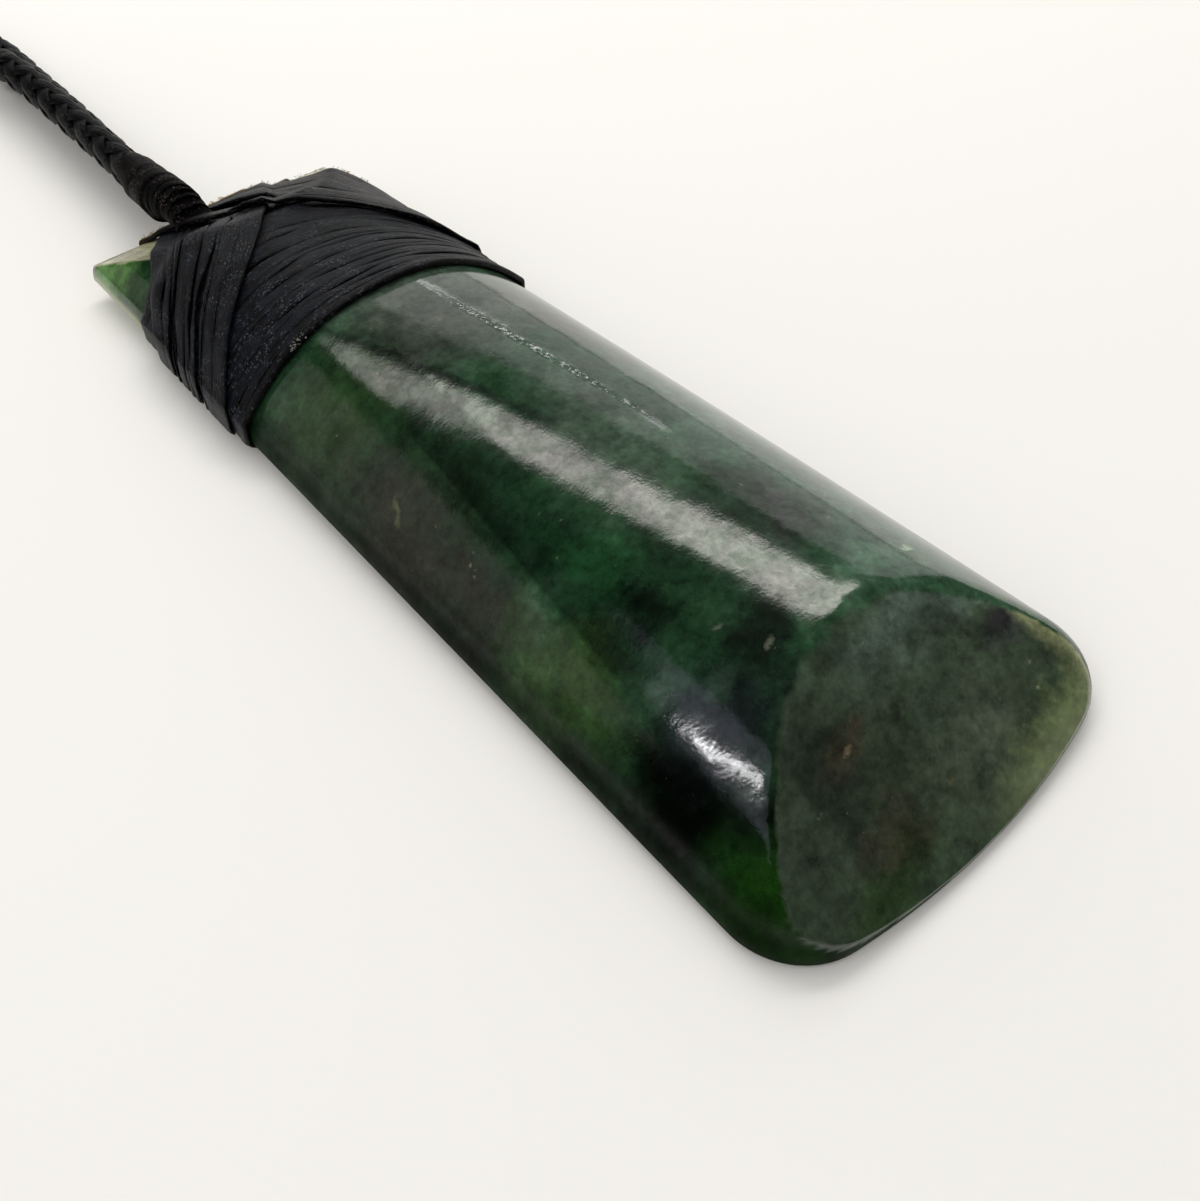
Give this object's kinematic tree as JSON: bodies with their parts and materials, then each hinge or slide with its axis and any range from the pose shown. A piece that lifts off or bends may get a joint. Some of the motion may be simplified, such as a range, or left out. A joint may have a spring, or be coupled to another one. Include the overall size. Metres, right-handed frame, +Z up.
{
  "type": "greenstone adze pendant on a braided neck cord",
  "caption": "Polished greenstone adze blade pendant, its bevelled butt bound with waxed thread to a whole loop of black braided cord, lying on its flat back.",
  "frame": {"origin": "under the middle of the stone's back, on the surface that the pendant lies on", "axes": "+Z up off the surface, +Y along the stone from the blade to the bound butt, +X to the right seen from above"},
  "size_m": [0.1827, 0.182, 0.0089],
  "materials": {
    "greenstone": "polished",
    "waxed_thread": "waxed satin",
    "wound_thread": "matt",
    "braided_cord": "satin"
  },
  "bodies": {
    "root": {"stone": "greenstone", "main_binding": "waxed_thread", "left_binding": "waxed_thread", "right_binding": "waxed_thread", "cord_lashing": "waxed_thread", "collar": "wound_thread", "neck_cord": "braided_cord"}
  },
  "joints": []
}
